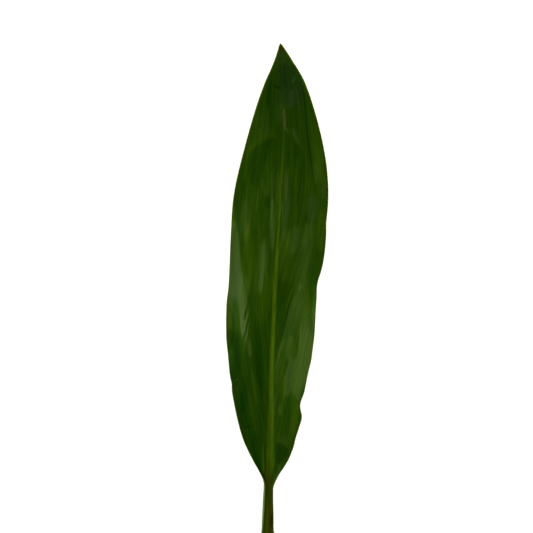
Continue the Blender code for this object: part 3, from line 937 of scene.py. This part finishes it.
def leafColour(nodes, links, finish, patterns):
    # the colours of the parts, then the grain, the painted light and shade with the tones,
    # the hues and the painted sheen over them
    colour = finish["green"]
    for part in ("rib", "stalk", "wallSheen", "brown", "highlightAndScar", "edge"):
        colour = mixColour(nodes, links, attribute(nodes, part), colour, finish[part])
    for name, pattern in patterns.items():
        colour = varied(nodes, links, colour, pattern, grain[name][3] * finish["contrast"])
    mottle = grain["mottleContrast"] * finish["contrast"]
    colour = varied(nodes, links, colour, mottled(nodes, links), mottle)
    for mask, more, less in (("lightShadeAndTone", "paleTint", "shadeTint"), ("hue", "warmTint", "coolTint")):
        amount = attribute(nodes, mask)
        above = mathNode(nodes, links, "MAXIMUM", amount, 0.0)
        below = mathNode(nodes, links, "MULTIPLY", mathNode(nodes, links, "MINIMUM", amount, 0.0), -1.0)
        if mask == "lightShadeAndTone":
            below = mathNode(nodes, links, "MINIMUM", below, grain["darkest"])
        colour = tinted(nodes, links, colour, above, finish[more])
        colour = tinted(nodes, links, colour, below, finish[less])
    return mixColour(nodes, links, attribute(nodes, "paintedSheen"), colour, finish["paintedSheen"], "ADD")


def leafMaterial(name, finish):
    material, nodes, links, shader = nodeMaterial(name)
    vein, along = attribute(nodes, "vein"), attribute(nodes, "along")
    patterns = {}
    for size in ("fine", "middling", "broad"):
        patterns[size] = streaks(nodes, links, vein, along, *grain[size][:3])
    links.new(leafColour(nodes, links, finish, patterns), shader.inputs["Base Color"])

    bump = nodes.new("ShaderNodeBump")
    bump.inputs["Strength"].default_value = 1.0
    bump.inputs["Distance"].default_value = finish["veinBump"] * mm
    links.new(patterns["fine"], bump.inputs["Height"])
    links.new(bump.outputs["Normal"], shader.inputs["Normal"])
    smoothest = finish["roughness"] - grain["unevenGloss"] / 2
    rough = mathNode(nodes, links, "MULTIPLY_ADD", patterns["broad"], grain["unevenGloss"], smoothest)
    dull = attribute(nodes, "dull")
    rough = mathNode(nodes, links, "MULTIPLY_ADD", dull, grain["dullRoughness"], rough)
    links.new(rough, shader.inputs["Roughness"])
    shader.inputs["Specular IOR Level"].default_value = finish["specular"]
    return material


# The greens are as a camera sees them in soft light.
upperFinish = {
    "green": (0.0091, 0.0272, 0.0004),
    # the first two tints carry painted light and shade as well as the leaf's own tone
    "paleTint": (2.25, 1.65, 2.0),      # what a paler stretch multiplies the colour by
    "shadeTint": (0.45, 0.60, 0.50),    # and a darker one
    "warmTint": (1.4, 1.0, 1.0),        # and a yellower one
    "coolTint": (0.5, 1.0, 1.0),        # and a purer green one
    "paintedSheen": (0.0115, 0.0130, 0.0085),   # what the painted sheen adds
    "rib": (0.0300, 0.0560, 0.0003),    # the midrib's stripe
    "stalk": (0.0200, 0.0285, 0.0003),
    "wallSheen": (0.048, 0.060, 0.012),      # painted sheen on the stalk's left wall, which faces the light
    "edge": (0.050, 0.072, 0.001),
    "brown": (0.0140, 0.0175, 0.0008),
    # the pale of the painted highlight and of the scar
    "highlightAndScar": (0.029, 0.048, 0.0085),
    "contrast": 1.0,
    "veinBump": 0.03,
    "roughness": 0.295,
    "specular": 0.5,
}
underFinish = dict(
    upperFinish, green=(0.052, 0.105, 0.018), paintedSheen=(0.004, 0.004, 0.006), paleTint=(1.25, 1.2, 1.4),
    shadeTint=(0.8, 0.85, 0.8), rib=(0.085, 0.145, 0.020), stalk=(0.050, 0.070, 0.010),
    brown=(0.060, 0.072, 0.014), highlightAndScar=(0.070, 0.110, 0.030),
    contrast=0.6, roughness=0.5, specular=0.4)


# The studio: pale table, soft light, camera straight above. It is in metres, but for the
# camera's lens and sensor, which are in millimetres.
studio = {
    "floorSize": 8.0,
    "floorColour": (0.90, 0.90, 0.90),
    "floorGrain": 60.0,               # scale of its faint pattern
    "floorShade": 0.995,              # and how dark that gets
    "floorGap": 0.0002,               # under the leaf
    "roomStrength": 1.0,              # the pale room behind the table, seen only by the camera
    "cameraAt": (-0.01035, 0.0355),   # over the middle of the picture
    "frameWidth": 0.533,              # what the picture takes in at the leaf's level
    "leafLevel": 0.003,
    "lens": 180.0,
    "sensor": 36.0,
}
# The lights are far off, so that the table is evenly lit. One set lights the colours and
# another makes the gloss, which keeps the deep greens free of a pale veil.
lights = [
    # name, height above the table and bearing from +X in degrees, spread, strength, colour, use
    ("softLeft", 24, 172, 45, 7.4, (1.0, 0.94, 0.85), "colour"),
    ("softAbove", 90, 0, 130, 1.8, (0.78, 1.0, 0.9), "colour"),
    ("sheenLeft", 46, 174, 26, 0.115, (1.0, 1.0, 1.0), "gloss"),
]


def plainFinish(name, colour):
    material, nodes, links, shader = nodeMaterial(name)
    pattern = nodes.new("ShaderNodeTexNoise")
    pattern.inputs["Scale"].default_value = studio["floorGrain"]
    darker = tuple(part * studio["floorShade"] for part in colour)
    tint = mixColour(nodes, links, pattern.outputs["Fac"], darker, colour)
    links.new(tint, shader.inputs["Base Color"])
    shader.inputs["Roughness"].default_value = 1.0
    shader.inputs["Specular IOR Level"].default_value = 0.0
    return material


def buildStudio():
    half = studio["floorSize"] / 2
    mesh = bpy.data.meshes.new("table")
    corners = [(-half, -half, 0), (half, -half, 0), (half, half, 0), (-half, half, 0)]
    mesh.from_pydata(corners, [], [(0, 1, 2, 3)])
    table = bpy.data.objects.new("table", mesh)
    mesh.materials.append(plainFinish("paleTable", studio["floorColour"]))
    bpy.context.scene.collection.objects.link(table)
    table.location.z = -studio["floorGap"]

    for name, rise, bearing, spread, strength, colour, use in lights:
        data = bpy.data.lights.new(name, "SUN")
        data.energy = strength
        data.color = colour
        data.angle = math.radians(spread)
        data.cycles.use_multiple_importance_sampling = False
        data.use_shadow = name != "softLeft"
        light = bpy.data.objects.new(name, data)
        bpy.context.scene.collection.objects.link(light)
        light.rotation_euler = (0, math.radians(90 - rise), math.radians(bearing))
        light.visible_glossy = use == "gloss"
        light.visible_diffuse = use == "colour"

    world = bpy.data.worlds.new("paleRoom")
    world.use_nodes = True
    sky = world.node_tree.nodes["Background"]
    sky.inputs["Color"].default_value = (1.0, 1.0, 1.0, 1.0)
    sky.inputs["Strength"].default_value = studio["roomStrength"]
    world.cycles_visibility.diffuse = False
    world.cycles_visibility.glossy = False
    bpy.context.scene.world = world
    bpy.context.scene.view_settings.view_transform = "Standard"


def addCamera():
    data = bpy.data.cameras.new("above")
    data.lens = studio["lens"]
    data.sensor_width = studio["sensor"]
    data.dof.use_dof = False
    camera = bpy.data.objects.new("above", data)
    bpy.context.scene.collection.objects.link(camera)
    height = studio["frameWidth"] * studio["lens"] / studio["sensor"]
    camera.location = (*studio["cameraAt"], studio["leafLevel"] + height)
    bpy.context.scene.camera = camera


addCamera()
buildStudio()
print("studio ready")

tiLeaf = buildLeaf()
tiLeaf.data.materials.append(leafMaterial("leafUpper", upperFinish))
tiLeaf.data.materials.append(leafMaterial("leafUnder", underFinish))
tiLeaf.data.shade_smooth()
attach(tiLeaf, "root")
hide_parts("ti_leaf")
print("leaf built:", sum(len(face.vertices) - 2 for face in tiLeaf.data.polygons), "triangles")
